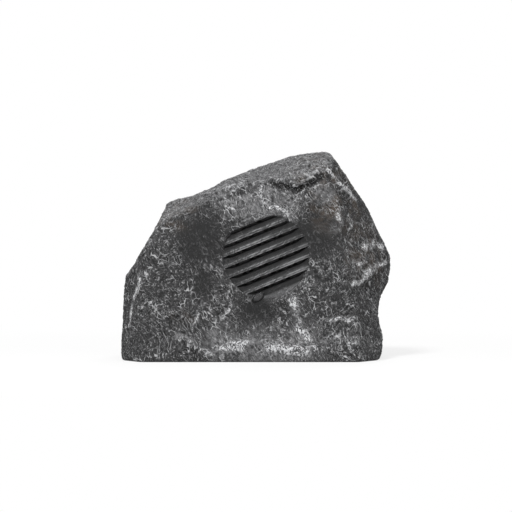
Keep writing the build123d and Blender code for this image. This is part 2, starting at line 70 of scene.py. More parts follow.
class Wire:  # wraps one socket of a node tree; sums on it add Math nodes
    def __init__(self, tree, socket=None):
        self.tree = tree
        self.socket = socket

    def node(self, kind, settings=None, inputs=None, out=0):
        made = self.tree.nodes.new(kind)
        for name, value in (settings or {}).items():
            setattr(made, name, value)
        for name, value in (inputs or {}).items():
            self.feed(made.inputs[name], value)
        return Wire(self.tree, made.outputs[out])

    def feed(self, target, value):
        if isinstance(value, Wire):
            self.tree.links.new(value.socket, target)
        else:
            target.default_value = value

    def other(self, out):  # another output of the same node
        return Wire(self.tree, self.socket.node.outputs[out])

    def sum(self, operation, *values):
        return self.node("ShaderNodeMath", {"operation": operation}, dict(enumerate(values)))

    def __add__(self, other):
        return self.sum("ADD", self, other)

    def __radd__(self, other):
        return self.sum("ADD", other, self)

    def __sub__(self, other):
        return self.sum("SUBTRACT", self, other)

    def __rsub__(self, other):
        return self.sum("SUBTRACT", other, self)

    def __mul__(self, other):
        return self.sum("MULTIPLY", self, other)

    def __rmul__(self, other):
        return self.sum("MULTIPLY", other, self)

    def __truediv__(self, other):
        return self.sum("DIVIDE", self, other)

    def __abs__(self):
        return self.sum("ABSOLUTE", self)

    def atLeast(self, other):
        return self.sum("MAXIMUM", self, other)

    def atMost(self, other):
        return self.sum("MINIMUM", self, other)

    def between(self, low, high):  # soft step from 0 at low to 1 at high
        settings = {"interpolation_type": "SMOOTHSTEP"}
        return self.node("ShaderNodeMapRange", settings, {0: self, 1: low, 2: high, 3: 0.0, 4: 1.0})

    def mix(self, factor, first, second):  # colour going from first to second
        return self.node("ShaderNodeMix", {"data_type": "RGBA"}, {0: factor, 6: first, 7: second}, 2)

    def distance(self, point):
        return self.node("ShaderNodeVectorMath", {"operation": "DISTANCE"}, {0: self, 1: point}, 1)

    def stretch(self, factors):
        return self.node("ShaderNodeVectorMath", {"operation": "MULTIPLY"}, {0: self, 1: factors})

    def shifted(self, along, size):  # moved by a vector, times a size for each axis
        settings = {"operation": "MULTIPLY_ADD"}
        return self.node("ShaderNodeVectorMath", settings, {0: along, 1: size, 2: self})

    def axis(self, letter):
        return self.node("ShaderNodeSeparateXYZ", None, {0: self}, letter)

    def noise(self, scale, detail=3.0, rough=0.55, bend=0.0):
        inputs = {"Vector": self, "Scale": scale, "Detail": detail, "Roughness": rough, "Distortion": bend}
        return self.node("ShaderNodeTexNoise", None, inputs)

    def drift(self, scale, detail):  # three noises at once, as a vector
        inputs = {"Vector": self, "Scale": scale, "Detail": detail}
        return self.node("ShaderNodeTexNoise", None, inputs, "Color")

    def cells(self, scale, feature="F1"):
        return self.node("ShaderNodeTexVoronoi", {"feature": feature}, {"Vector": self, "Scale": scale})

    def bands(self, direction, scale, bend=0.0):
        inputs = {"Vector": self, "Scale": scale, "Distortion": bend}
        return self.node("ShaderNodeTexWave", {"bands_direction": direction}, inputs)

    def attribute(self, name):
        return self.node("ShaderNodeAttribute", {"attribute_name": name}, None, "Fac")


def newObject(name, data):
    thing = bpy.data.objects.new(name, data)
    scene.collection.objects.link(thing)
    return thing


def newMesh(name, bm):  # the bmesh is used up
    mesh = bpy.data.meshes.new(name)
    bm.to_mesh(mesh)
    bm.free()
    return mesh


def grey(level, warm=0.0):
    return (level * (1 + warm), level, level * (1 - warm), 1.0)


def newFinish(name, constants):
    material = bpy.data.materials.new(name)
    material.use_nodes = True
    shader = material.node_tree.nodes["Principled BSDF"]
    for socket, value in constants.items():
        shader.inputs[socket].default_value = value
    start = Wire(material.node_tree)
    place = start.node("ShaderNodeTexCoord", None, None, "Object")
    return material, shader, place


def bump(place, height, strength, depth):
    return place.node("ShaderNodeBump", None, {"Strength": strength, "Distance": depth, "Height": height})


def wireFinish(material, shader, sockets):
    for name, wire in sockets.items():
        material.node_tree.links.new(wire.socket, shader.inputs[name])
    return material


# camera, lights and floor

view = dict(lens=300.0, sensor=36.0, sight=50.0, pixels=512, pixelSize=1.20 * mm, aimX=-0.9 * mm,
            aimZ=121.0 * mm, rise=2.0)


def makeCamera():
    data = bpy.data.cameras.new("camera")
    data.lens = view["lens"]
    data.sensor_width = view["sensor"]
    data.clip_end = view["sight"]
    camera = newObject("camera", data)
    away = view["pixelSize"] * view["pixels"] * data.lens / data.sensor_width
    rise = math.radians(view["rise"])
    aim = Vector((view["aimX"], 0, view["aimZ"]))
    camera.location = aim + Vector((0, -math.cos(rise), math.sin(rise))) * away
    camera.rotation_euler = (math.pi / 2 - rise, 0, 0)
    scene.camera = camera


lampAim = Vector((0, 0, 110 * mm))
lamps = {
    "skyPanel": dict(place=(-0.5, -1.2, 1.7), size=0.45, power=37.0),
    "frontPanel": dict(place=(0.3, -2.4, 0.5), size=0.9, power=20.0),
    "sidePanel": dict(place=(1.7, -0.6, 0.8), size=0.7, power=4.0),
    "backPanel": dict(place=(0.3, 1.7, 1.1), size=1.0, power=18.0),
}


def makeLamps():
    for name, lamp in lamps.items():
        data = bpy.data.lights.new(name, "AREA")
        data.size = lamp["size"]
        data.energy = lamp["power"]
        light = newObject(name, data)
        light.location = lamp["place"]
        light.rotation_euler = (lampAim - light.location).to_track_quat("-Z", "Y").to_euler()


def seenDirectly(wire):  # 1 for what the camera sees, also through gloss and glass
    path = wire.node("ShaderNodeLightPath", None, None, "Is Camera Ray")
    return path.atLeast(path.other("Is Glossy Ray")).atLeast(path.other("Is Transmission Ray"))


floorLook = dict(reach=20.0, white=1.0, sky=0.26, shade=0.25, paint=0.85, shadowReach=(0.25, 0.75))


def makeFloor():
    bm = bmesh.new()
    bmesh.ops.create_grid(bm, x_segments=1, y_segments=1, size=floorLook["reach"])
    floor = newObject("floor", newMesh("floor", bm))
    material = bpy.data.materials.new("paleFloor")
    material.use_nodes = True
    tree = material.node_tree
    tree.nodes.remove(tree.nodes["Principled BSDF"])
    wire = Wire(tree)
    lit = wire.node("ShaderNodeBsdfDiffuse", None, {"Color": grey(floorLook["paint"])})
    glow = wire.node("ShaderNodeEmission", None, {"Color": grey(1.0), "Strength": floorLook["white"]})
    place = wire.node("ShaderNodeTexCoord", None, None, "Object")
    far = place.distance((0, 0, 0)).between(*floorLook["shadowReach"])  # clear white away from the rock
    share = seenDirectly(wire) * (1 - floorLook["shade"] * (1 - far))
    both = wire.node("ShaderNodeMixShader", None, {0: share, 1: lit, 2: glow})
    tree.links.new(both.socket, tree.nodes["Material Output"].inputs["Surface"])
    floor.data.materials.append(material)


def makeWorld():
    world = bpy.data.worlds.new("studio")
    world.use_nodes = True
    wire = Wire(world.node_tree)
    direct = seenDirectly(wire)
    strength = direct * floorLook["white"] + (1 - direct) * floorLook["sky"]
    background = world.node_tree.nodes["Background"]
    background.inputs["Color"].default_value = grey(1.0)
    world.node_tree.links.new(strength.socket, background.inputs["Strength"])
    scene.world = world
    scene.view_settings.view_transform = "Standard"


makeCamera()
makeLamps()
makeFloor()
makeWorld()
print("camera, lamps and floor placed")


# painted stone finish, shared by the rock and its louvres

# darkAndShade is the near-black of the calm spots and of the painted shade and shadow; shadingWash is the
# pale of the painted light and of the dry brush on ridges
stonePaint = dict(
    darkAndShade=(0.006, 0.006, 0.006, 1), shadow=(0.024, 0.024, 0.0245, 1), body=(0.051, 0.051, 0.052, 1),
    shadingWash=(0.195, 0.195, 0.199, 1), pale=(0.39, 0.39, 0.396, 1), brush=(0.70, 0.705, 0.72, 1),
    earth=(0.085, 0.066, 0.051, 1), gloss=0.12, bumpDepth=1.5 * mm,
    earthSpots=((95, 195, 45), (140, 125, 40), (-100, 180, 30), (70, 225, 30)),  # across, up, radius in mm
    calmSpots=((72, 150, 32), (2, 62, 26), (-66, 142, 38), (-62, 90, 18)),
    # litSpots: spots painted paler where light falls on them, as painted light
    litSpots=((-30, 196, 26), (0, 190, 30), (30, 184, 26), (80, 199, 18), (0, 20, 30), (45, 22, 34),
               (-40, 24, 24)),
    spotCore=0.35, spotFade=1.25, spotFront=(-25 * mm, 5 * mm),
    slant=(0.0, -0.45, 0.0), crossSlant=(0.0, 0.95, 0.0), stroke=5.5, crackle=2.2,
    swirls=((12.0, 0.05), (110.0, 0.007)),
    scales=dict(patches=24.0, mottle=190.0, grain=620.0, fibre=820.0, across=620.0, cracks=150.0,
                soil=60.0, stain=15.0, crowd=55.0, shown=80.0),
)


def spotMask(place, spots):  # 1 near any of the spots, fading out past its radius and towards the back
    flat = place.stretch((1.0, 0.0, 1.0))
    front = 1 - place.axis("Y").between(*stonePaint["spotFront"])
    total = 0.0
    for across, up, radius in spots:
        core = radius * stonePaint["spotCore"] * mm
        edge = radius * stonePaint["spotFade"] * mm
        near = 1 - flat.distance((across * mm, 0.0, up * mm)).between(core, edge)
        total = near + total
    return total.atMost(1.0) * front


def drawnOut(place, turn, stretch):  # coordinates stretched along a slant that winds over the rock
    bent = place
    for scale, reach in stonePaint["swirls"]:
        bent = bent.shifted(place.drift(scale, 1.0), (reach,) * 3)
    inputs = {"Vector": bent, "Rotation": turn, "Scale": (1.0, 1.0, stretch)}
    return place.node("ShaderNodeMapping", {"vector_type": "TEXTURE"}, inputs)


def stoneFinish():
    material, shader, place = newFinish("paintedStone", {"Specular IOR Level": stonePaint["gloss"]})
    scales = stonePaint["scales"]
    smoothShaded = place.attribute("smoothShaded")  # 1 on the blades: smoother paint, and painted shade over their recessed faces
    flecks = 1 - smoothShaded * 0.95
    peak = place.attribute("peak")
    ridge = place.attribute("ridge")
    crease = place.attribute("crease")
    # toplight: what faces up is painted lighter, as painted light from above
    toplight = place.node("ShaderNodeTexCoord", None, None, "Normal").axis("Z").between(0.3, 0.9)
    slant = drawnOut(place, stonePaint["slant"], stonePaint["stroke"])
    cross = drawnOut(place, stonePaint["crossSlant"], stonePaint["stroke"])
    calm = spotMask(place, stonePaint["calmSpots"])
    patches = place.noise(scales["patches"], 3.0, 0.6)
    mottle = place.noise(scales["mottle"], 5.0, 0.7)
    grain = place.noise(scales["grain"], 2.0, 0.6)
    fibre = slant.noise(scales["fibre"], 1.0, 0.5, 0.2)
    across = cross.noise(scales["across"], 1.0, 0.5, 0.2)

    # ground: body colour, dark in the calm spots, with painted shade on the blades, earth, painted light
    # from a pale wash, and painted shadow and shade
    # on the blades the tone and the near-black mix below are painted shade over their recessed faces
    tone = (mottle * 0.6 + patches * 0.4).between(0.25, 0.70) * 0.9 * (1 - calm * 0.8) * (1 - smoothShaded * 0.7)
    colour = place.mix(tone, stonePaint["shadow"], stonePaint["body"])
    colour = place.mix((calm * 0.42).atLeast(smoothShaded * 0.6), colour, stonePaint["darkAndShade"])
    soil = place.noise(scales["soil"], 4.0, 0.6).between(0.4, 0.66)
    stain = place.noise(scales["stain"], 3.0, 0.6).between(0.64, 0.76)
    earth = (spotMask(place, stonePaint["earthSpots"]) * soil).atLeast(stain * 0.5)
    colour = place.mix(earth * flecks * 0.7, colour, stonePaint["earth"])
    bright = (1 - calm * 0.85) * flecks
    # painted light: the lit spots and what faces up get the pale wash, and the ridges get the same pale as
    # dry brush
    litAndRidgePaint = spotMask(place, stonePaint["litSpots"]).atLeast(toplight)
    litAndRidgePaint = litAndRidgePaint * (0.35 + 0.65 * mottle.between(0.4, 0.6)) * bright
    litAndRidgePaint = (litAndRidgePaint * 0.8).atLeast(ridge * flecks * (0.3 + 0.4 * mottle.between(0.4, 0.6)))
    colour = place.mix(litAndRidgePaint, colour, stonePaint["shadingWash"])
    # painted shadow beside the dry-brushed lines, as if each line stood up and shaded its side
    lineShadow = (1 - fibre.between(0.34, 0.46)) * bright
    # painted shade in the hollows of the relief and along the creases
    hollowShade = ((1 - peak.between(-0.7, -0.05)) * bright).atLeast(crease * 1.25 * flecks)
    colour = place.mix((lineShadow * 0.55).atLeast(hollowShade * 0.6), colour, stonePaint["darkAndShade"])

    # dry-brushed lines along the slant, thicker in patches, and a crackle of bright ones
    lines = fibre.between(0.57, 0.66) * (0.25 + 0.75 * across.between(0.44, 0.60))
    lines = lines.atLeast(across.between(0.61, 0.68) * 0.4)
    density = 0.6 + 0.4 * (patches * 0.6 + place.noise(scales["crowd"], 2.0) * 0.4).between(0.40, 0.62)
    colour = place.mix(lines * density * bright, colour, stonePaint["pale"])
    winding = drawnOut(place, stonePaint["slant"], stonePaint["crackle"])
    cracks = winding.cells(scales["cracks"], "DISTANCE_TO_EDGE")
    shown = place.noise(scales["shown"], 2.0).between(0.50, 0.62) * bright
    ridgeline = (1 - cracks.between(0.02, 0.06)) * shown
    colour = place.mix(ridgeline * 0.55, colour, stonePaint["brush"])

    # nearly white dry brush on ridges and peaks, and painted light on what faces up
    dry = (grain * 0.3 + fibre * 0.35 + across * 0.35 + ridge * 0.02).between(0.49, 0.57)
    high = peak.between(0.35, 0.8) * (0.3 + 0.7 * across.between(0.44, 0.54))
    smooth = smoothShaded * (0.2 + 0.8 * (patches * 0.5 + across * 0.5).between(0.4, 0.58))
    core = ridge.between(0.3, 0.85) * dry * flecks
    brush = (high * 0.4 + toplight * dry * 0.18) * bright + (core + ridge * smooth) * 0.85
    colour = place.mix(brush.atMost(1.0), colour, stonePaint["brush"])

    height = grain * 0.2 + mottle * 0.5 + lines * 0.6 + ridgeline * 0.9 - lineShadow * 0.6 - hollowShade * 0.6
    return wireFinish(material, shader, {
        "Base Color": colour, "Roughness": 0.64 + mottle * 0.2,
        "Normal": bump(place, height, 1.0, stonePaint["bumpDepth"])})


stone = stoneFinish()


# frame of the louvred opening, read from the screen behind it and the cone's axis

outward = Vector(frame["joints"][0]["axis"]).normalized()
screenLow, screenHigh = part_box("insect_screen")
grille = dict(radius=50 * mm, screenDepth=11.4 * mm, slant=22.5, pitch=12.75 * mm, count=6, lip=3.2 * mm)
grilleCentre = (screenLow + screenHigh) / 2 + outward * grille["screenDepth"]
acrossRow = Vector((1, 0, 0))
upRow = outward.cross(acrossRow)
grilleFrame = Matrix((acrossRow, upRow, outward)).transposed().to_4x4()
grilleFrame.translation = grilleCentre
slatFrame = grilleFrame @ Matrix.Rotation(math.radians(grille["slant"]), 4, "Z")
tab = dict(place=(-27.6, -42.6), size=(6.6, 3.6, 2.2), turn=14.0, stand=0.8, wear=0.25, bedSpread=1.35,
           bedRise=0.45, bedShadow=1.3, facets=(28, 16))
tabMiddle = slatFrame @ (Vector((*tab["place"], 0.0)) * mm)


def settle(thing):  # evaluate the modifiers into a plain mesh
    graph = bpy.context.evaluated_depsgraph_get()
    mesh = bpy.data.meshes.new_from_object(thing.evaluated_get(graph))
    thing.modifiers.clear()
    old = thing.data
    thing.data = mesh
    bpy.data.meshes.remove(old)


def groupTree(name, inputs):  # a geometry tree with named inputs, ready to be filled
    tree = bpy.data.node_groups.new(name, "GeometryNodeTree")
    tree.interface.new_socket("Geometry", in_out="INPUT", socket_type="NodeSocketGeometry")
    tree.interface.new_socket("Geometry", in_out="OUTPUT", socket_type="NodeSocketGeometry")
    for label, kind in inputs.items():
        tree.interface.new_socket(label, in_out="INPUT", socket_type="NodeSocket" + kind)
    return tree, Wire(tree).node("NodeGroupInput", None, None, "Geometry")


def closeTree(tree, geometry, material):
    whole = geometry.node("GeometryNodeRealizeInstances", None, {"Geometry": geometry})
    painted = geometry.node("GeometryNodeSetMaterial", None, {"Geometry": whole, "Material": material})
    end = tree.nodes.new("NodeGroupOutput")
    tree.links.new(painted.socket, end.inputs[0])


def applyTree(thing, tree, values):
    modifier = thing.modifiers.new(tree.name, "NODES")
    modifier.node_group = tree
    for item in tree.interface.items_tree:
        if item.in_out == "INPUT" and item.name in values:
            modifier[item.identifier] = values[item.name]
    settle(thing)


def surfaceOf(mesh):
    return BVHTree.FromPolygons([v.co for v in mesh.vertices], [p.vertices for p in mesh.polygons])


def weldedCopy(name, gap):  # a bmesh of a frame node, its seams joined
    bm = bmesh.new()
    bm.from_mesh(nodes[name].data)
    bm.transform(nodes[name].matrix_world)
    bmesh.ops.remove_doubles(bm, verts=bm.verts, dist=gap)
    return bm


# the rock: the moulded shell without its louvres, remeshed evenly

rockForm = dict(weld=0.002 * mm, voxel=2.2 * mm, softness=0.5, smoothing=2, insideShare=0.10,
                probe=400 * mm, wallsMet=3)
plugForm = dict(margin=0.4 * mm, floor=10.6 * mm, length=30 * mm, sides=128)


def louvrePlug():
    bm = bmesh.new()
    radius = grille["radius"] + plugForm["margin"]
    bmesh.ops.create_cone(bm, cap_ends=True, segments=plugForm["sides"], radius1=radius, radius2=radius,
                          depth=plugForm["length"])
    bmesh.ops.translate(bm, verts=bm.verts, vec=(0, 0, plugForm["length"] / 2 - plugForm["floor"]))
    bmesh.ops.transform(bm, matrix=grilleFrame, verts=bm.verts)
    return newObject("louvrePlug", newMesh("louvrePlug", bm))


def rockBlank():
    rock = newObject("rock", newMesh("rock", weldedCopy("rock_shell", rockForm["weld"])))
    plug = louvrePlug()
    cut = rock.modifiers.new("cut", "BOOLEAN")
    cut.operation = "DIFFERENCE"
    cut.object = plug
    even = rock.modifiers.new("even", "REMESH")
    even.mode = "VOXEL"
    even.voxel_size = rockForm["voxel"]
    soft = rock.modifiers.new("soft", "SMOOTH")
    soft.factor = rockForm["softness"]
    soft.iterations = rockForm["smoothing"]
    settle(rock)
    bpy.data.objects.remove(plug)
    return rock


def insideVertices(mesh):  # vertices of the cavity: walls all round them
    surface = surfaceOf(mesh)
    found = []
    for vertex in mesh.vertices:
        normal = vertex.normal
        start = vertex.co + normal * mm
        if surface.ray_cast(start, normal, rockForm["probe"])[0] is None:
            continue
        side = normal.orthogonal()
        leans = (side, -side, side.cross(normal), normal.cross(side))
        hits = [surface.ray_cast(start, normal + lean, rockForm["probe"])[0] is not None for lean in leans]
        if sum(hits) >= rockForm["wallsMet"]:
            found.append(vertex.index)
    return found


def thinInside(rock):
    inside = insideVertices(rock.data)
    group = rock.vertex_groups.new(name="inside")
    group.add(inside, 1.0, "REPLACE")
    thin = rock.modifiers.new("thin", "DECIMATE")
    thin.vertex_group = "inside"
    thin.ratio = 1 - (1 - rockForm["insideShare"]) * len(inside) / len(rock.data.vertices)
    settle(rock)
    print("rock inside", len(inside), "kept", len(rock.data.vertices), "vertices")


rock = rockBlank()
print("rock remeshed", len(rock.data.vertices), "vertices")
thinInside(rock)


# the rock's relief: wrinkles all over it, and strokes of the modeller's tool on the front

rockRelief = dict(
    broad=1.3, broadScale=17.0, wrinkle=1.3, wrinkleScale=80.0, foldWidth=0.14, patchScale=28.0,
    closeShare=0.55, closeScale=1.9, closeWidth=0.12, fine=0.5, fineScale=230.0, peakBlur=7,
    grilleClear=(52.5 * mm, 59 * mm), glandClear=(19 * mm, 27 * mm), tabClear=(8 * mm, 12 * mm),
    rim=(1 * mm, 9 * mm), spacing=1.5 * mm, castFrom=-500 * mm,
    shakeScale=75.0, wanderScale=60.0, wearScale=48.0,
)
ridgeHand = dict(shake=5 * mm, worn=0.6)  # how far a stroke wanders, how much of its paint is rubbed off
creaseHand = dict(shake=2 * mm, worn=0.1)


def stroke(lift, reach, paint, *points):  # height and reach in mm, weight of paint (dry brush on ridges, painted shade along creases), (across, up) in mm
    return dict(lift=lift, reach=reach, paint=paint, points=points)


ridges = {
    "topBand": stroke(1.3, 9, 0.5, (-66, 195), (-36, 203), (-18, 209), (-2, 216), (12, 221)),
    "scoopLip": stroke(1.5, 7, 0.35, (18, 215), (29, 212), (43, 210), (56, 211), (66, 219), (77, 227)),
    "crestRim": stroke(1.3, 7, 1.1, (82, 228), (90, 217), (99, 207), (108, 200), (118, 188)),
    "leftBand": stroke(1.1, 6, 1.0, (-141, 120), (-140, 103), (-138, 90), (-145, 70), (-150, 40)),
    "leftShoulder": stroke(0.9, 9, 0.5, (-113, 168), (-121, 151), (-127, 138)),
    "leftToe": stroke(1.1, 8, 0.6, (-95, 27), (-84, 25), (-75, 20), (-62, 13), (-52, 7)),
    "toeLedge": stroke(1.5, 13, 1.0, (-40, 18), (-7, 20), (22, 16), (54, 13), (80, 16)),
    "toeCorner": stroke(1.0, 9, 0.5, (95, 20), (115, 22), (135, 18)),
    "uprightFold": stroke(1.5, 11, 0.9, (43, 73), (44, 56), (52, 37), (61, 26)),
    "knobBrow": stroke(1.5, 6, 1.3, (154, 113), (145, 111), (133, 102), (122, 92), (109, 90)),
    "knobTop": stroke(1.2, 8, 1.6, (128, 131), (137, 137), (144, 133), (151, 131)),
    "grilleBrow": stroke(0.9, 4.5, 1.3, (10, 177), (20, 182), (29, 179), (38, 173), (50, 165)),
    "grilleSill": stroke(0.4, 3, 0.5, (14, 71), (30, 77), (45, 85), (58, 95)),
    "rightFlank": stroke(0.8, 6, 0.8, (86, 48), (98, 52), (107, 47), (116, 52)),
    "leftHook": stroke(0.6, 4, 0.9, (-35, 197), (-39, 189), (-34, 182), (-27, 177)),
    "upperSeam": stroke(0.6, 4, 0.9, (6, 207), (4, 196), (9, 186)),
    "crestSeam": stroke(0.5, 4, 0.7, (59, 232), (56, 224), (54, 217)),
    "scoopSeam": stroke(0.6, 4, 0.8, (57, 206), (53, 197), (49, 184)),
    "kneeStroke": stroke(0.6, 4, 0.8, (-60, 70), (-68, 61), (-72, 48), (-76, 37)),
    "knobFold": stroke(0.8, 5, 1.1, (139, 121), (130, 118), (121, 112), (112, 110)),
    "flankSeam": stroke(0.6, 4, 0.9, (108, 152), (114, 163), (124, 158)),
    "flankBloom": stroke(0.0, 8, 1.0, (97, 173), (100, 163), (99, 153)),
    "lowFold": stroke(0.6, 4, 0.8, (-36, 77), (-30, 66), (-41, 53), (-37, 42), (-27, 35)),
}
# creases dip into the rock and carry painted shade along them and under the ledges above them
creases = {
    "underBand": stroke(-1.3, 6, 1.1, (-34, 194), (-14, 199), (2, 205), (18, 210)),
    "scoop": stroke(-2.0, 8, 1.4, (16, 210), (30, 206), (44, 204), (58, 207), (70, 212), (79, 219)),
    "underRim": stroke(-1.4, 11, 0.8, (84, 216), (92, 205), (101, 193), (110, 182)),
    "underKnob": stroke(-1.3, 9, 0.8, (153, 103), (140, 97), (130, 88), (121, 80)),
    "besideFold": stroke(-1.0, 12, 0.8, (30, 66), (32, 52), (36, 40)),
    "aboveToe": stroke(-0.8, 10, 0.8, (-40, 36), (-10, 34), (20, 32), (36, 30)),
}


def strokeLines(name, strokes, surface):  # points on the rock that carry lift, reach and paint
    places = []
    rows = []
    for mark in strokes.values():
        for (x0, z0), (x1, z1) in zip(mark["points"], mark["points"][1:]):
            steps = max(1, round(math.hypot(x1 - x0, z1 - z0) * mm / rockRelief["spacing"]))
            for k in range(steps):
                x = (x0 + (x1 - x0) * k / steps) * mm
                z = (z0 + (z1 - z0) * k / steps) * mm
                hit = surface.ray_cast(Vector((x, rockRelief["castFrom"], z)), Vector((0, 1, 0)))[0]
                if hit is not None:
                    places.append(hit)
                    rows.append(mark)
    mesh = bpy.data.meshes.new(name)
    mesh.from_pydata(places, [], [])
    for label in ("lift", "reach", "paint"):
        layer = mesh.attributes.new(label, "FLOAT", "POINT")
        layer.data.foreach_set("value", [float(row[label]) for row in rows])
    return newObject(name, mesh)


def strokeField(place, lines, hand):  # (height in mm, paint) that the nearest stroke gives at a place
    points = place.node("GeometryNodeObjectInfo", None, {"Object": lines}, "Geometry")
    shake = place.drift(rockRelief["shakeScale"], 2.0)
    bent = place
    for along, size in ((shake, 2 * hand["shake"]), ((1.0, 1.0, 1.0), -hand["shake"])):
        bent = bent.shifted(along, (size, 0.0, size))
    index = place.node("GeometryNodeSampleNearest", {"domain": "POINT"},
                       {"Geometry": points, "Sample Position": bent})

    def sample(kind, value):
        inputs = {"Geometry": points, "Value": value, "Index": index}
        return place.node("GeometryNodeSampleIndex", {"data_type": kind, "domain": "POINT"}, inputs)

    def named(label):
        value = place.node("GeometryNodeInputNamedAttribute", {"data_type": "FLOAT"}, {"Name": label})
        return sample("FLOAT", value)

    nearest = sample("FLOAT_VECTOR", place.node("GeometryNodeInputPosition"))
    wander = place.noise(rockRelief["wanderScale"], 2.0)
    gap = bent.distance(nearest) * (1 / mm * (0.75 + 0.5 * wander))
    fall = 1 - (gap / named("reach")).between(0.0, 1.0)
    worn = 1 - hand["worn"] * (1 - place.noise(rockRelief["wearScale"], 2.0).between(0.40, 0.54))
    return named("lift") * fall * (0.5 + wander), named("paint") * fall * worn


def reliefTree(ridgeLines, creaseLines, glandMiddle):
    tree, geometry = groupTree("rockRelief", {"Broad": "Float", "Wrinkle": "Float", "Fine": "Float"})
    place = geometry.node("GeometryNodeInputPosition")
    normal = geometry.node("GeometryNodeInputNormal")
    inside = geometry.node("GeometryNodeInputNamedAttribute", {"data_type": "FLOAT"}, {"Name": "inside"})
    near = place.distance(grilleCentre).between(*rockRelief["grilleClear"])
    near = near * place.distance(glandMiddle).between(*rockRelief["glandClear"])
    near = near * place.distance(tabMiddle).between(*rockRelief["tabClear"])
    near = near * place.axis("Z").between(*rockRelief["rim"]) * (1 - inside.between(0.0, 0.5))
    broad = place.noise(rockRelief["broadScale"], 2.0, 0.5, 0.4) - 0.5
    field = place.noise(rockRelief["wrinkleScale"], 3.0, 0.5, 0.9)
    folds = 1 - abs(field - 0.5).between(0.0, rockRelief["foldWidth"])
    patch = 0.3 + 0.7 * place.noise(rockRelief["patchScale"], 2.0).between(0.36, 0.62)
    close = place.noise(rockRelief["wrinkleScale"] * rockRelief["closeScale"], 2.0, 0.5, 0.8)
    small = 1 - abs(close - 0.5).between(0.0, rockRelief["closeWidth"])
    folds = folds + rockRelief["closeShare"] * small
    fine = place.noise(rockRelief["fineScale"], 3.0, 0.6) - 0.5
    ridgeHeight, paint = strokeField(place, ridgeLines, ridgeHand)
    # the creases' paint is painted shade
    creaseHeight, shadingWash = strokeField(place, creaseLines, creaseHand)
    texture = folds * patch * geometry.other("Wrinkle") + fine * (2 * geometry.other("Fine"))
    relief = broad * (2 * geometry.other("Broad")) + texture + ridgeHeight + creaseHeight
    spread = geometry.node("GeometryNodeBlurAttribute", {"data_type": "FLOAT"},
                           {"Value": relief, "Iterations": rockRelief["peakBlur"]})
    peak = (relief - spread) * near
    push = place.node("ShaderNodeVectorMath", {"operation": "SCALE"},
                      {0: normal, "Scale": relief * near * mm})
    for label, value in (("peak", peak), ("ridge", paint * near), ("crease", shadingWash * near)):
        settings = {"data_type": "FLOAT", "domain": "POINT"}
        geometry = geometry.node("GeometryNodeStoreNamedAttribute", settings,
                                 {"Geometry": geometry, "Name": label, "Value": value})
    geometry = geometry.node("GeometryNodeSetPosition", None, {"Geometry": geometry, "Offset": push})
    closeTree(tree, geometry, stone)
    return tree


def carveRock(rock):
    surface = surfaceOf(rock.data)
    ridgeLines = strokeLines("ridgeLines", ridges, surface)
    creaseLines = strokeLines("creaseLines", creases, surface)
    low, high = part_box("gland_nut")
    tree = reliefTree(ridgeLines, creaseLines, (low + high) / 2)
    sizes = {"Broad": rockRelief["broad"], "Wrinkle": rockRelief["wrinkle"], "Fine": rockRelief["fine"]}
    applyTree(rock, tree, sizes)
    rock.vertex_groups.clear()
    for lines in (ridgeLines, creaseLines):
        bpy.data.objects.remove(lines)
    for polygon in rock.data.polygons:
        polygon.use_smooth = True
    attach(rock, "enclosure")
    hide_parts("rock_shell")


carveRock(rock)
print("rock carved", sum(len(p.vertices) - 2 for p in rock.data.polygons), "triangles")


# louvres: slanting blades with worn lips across the opening, closed above and below

blade = dict(steps=90, rise=8.8, depth=8.0, face=((0.45, 0.26), (0.78, 0.55), (1.0, 1.0)), edge=0.7,
             dip=0.15, back=0.4, wear=0.4, endWear=0.4, runOut=0.70, runSink=0.5, shallow=0.92, reachUp=0.8,
             wave=0.3, waveScale=38.0, ripple=0.12, rippleScale=210.0, sideways=0.7,
             seat=0.1 * mm, overlap=2.2 * mm, weld=0.001)
closing = dict(rise=8.0, depth=10.0, margin=1.0, span=0.86,
               rimPaint={1: (0.0, 0.0), -1: (0.35, 0.5)},  # (wear, smoothShaded) of the upper and the lower one; the second value is smoother paint with painted shade
               frontPaint={1: (0.4, 0.3), -1: (0.0, 1.0)})


def runningOut(along):  # 0 over most of a blade, rising to 1 at its ends
    share = min(1.0, max(0.0, abs(along) - blade["runOut"]) / (1 - blade["runOut"]))
    return share * share * (3 - 2 * share)


def facePoints(start, rise, deep):  # (up, out) on the hollowed face, from behind the lip to the back
    return tuple((start + rise * up, -deep * out) for up, out in blade["face"])


def bladeSection(along):  # (up, out, wear, smoothShaded) round the blade, the last value smoother paint with painted shade; the face runs out to the rim at each end
    half = grille["lip"] / mm / 2
    shut = runningOut(along)
    rise = blade["rise"] + (grille["pitch"] / mm - 2 * half - blade["rise"]) * shut
    deep = blade["depth"] * (1 - blade["shallow"] * shut)
    edge = blade["edge"]
    worn = blade["wear"] * (1 - (1 - blade["endWear"]) * shut)
    section = [
        (-half + rise * 0.07, -deep * 0.07, worn * 0.3),  # behind the lower edge
        (-half, -edge * 0.5, worn), (-half + edge * 0.6, 0.0, worn),
        (0.0, -blade["dip"], worn * 0.25),  # middle of the lip
        (half - edge * 0.6, 0.0, worn * 0.7), (half, -edge * 0.5, worn),
        (half + rise * 0.1, -deep * 0.08, worn * 0.2),  # behind the upper edge
    ]
    section += [(up, out, 0.0) for up, out in facePoints(half, rise, deep)]
    section.append((rise - half, -deep - blade["back"], 0.0))
    return [(up, out - blade["runSink"] * shut, wear, 1.0) for up, out, wear in section]


